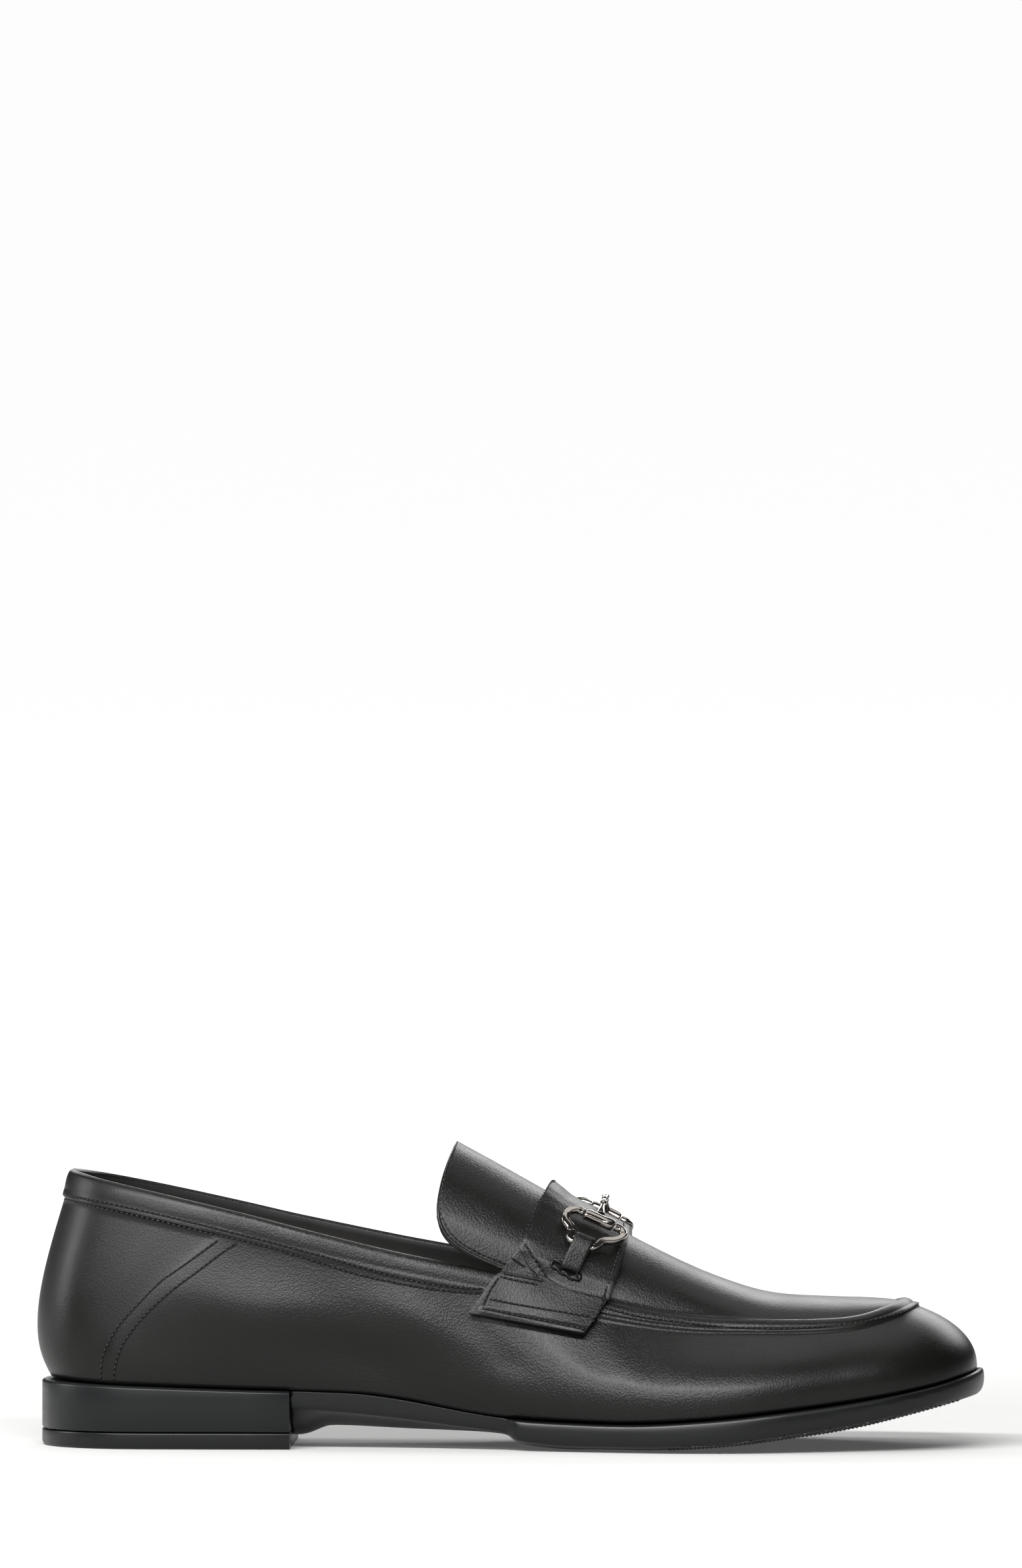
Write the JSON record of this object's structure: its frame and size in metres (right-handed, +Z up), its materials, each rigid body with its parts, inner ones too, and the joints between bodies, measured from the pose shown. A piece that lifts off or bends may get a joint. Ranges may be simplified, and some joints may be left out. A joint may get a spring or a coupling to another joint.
{
  "type": "bit loafer",
  "caption": "Black calf bit loafer for the right foot: hollow upper with a raised apron, tongue and saddle strap with a horse bit, on a low-heeled sole.",
  "frame": {"origin": "centre of the shoe's bounding box, on the floor it stands on", "axes": "+X from the heel to the toe, +Y to the medial side (the big toe's), +Z up"},
  "size_m": [0.2994, 0.1036, 0.0958],
  "materials": {
    "calf": "semi-gloss fine-grain black calf",
    "sole_rubber": "satin black",
    "heel_leather": "waxed and dyed edge, satin black",
    "lining": "matt, dark olive brown",
    "gunmetal": "polished gunmetal plating"
  },
  "bodies": {
    "root": {"outsole": "sole_rubber", "heel_block": "heel_leather", "heel_top_lift": "sole_rubber", "insole": "lining", "upper": "calf", "tongue": "calf", "strap": "calf", "keeper_lateral": "calf", "keeper_medial": "calf", "bit_ring_lateral": "gunmetal", "bit_ring_medial": "gunmetal", "bit_bar_lateral": "gunmetal", "bit_bar_medial": "gunmetal", "bit_link": "gunmetal"}
  },
  "joints": []
}
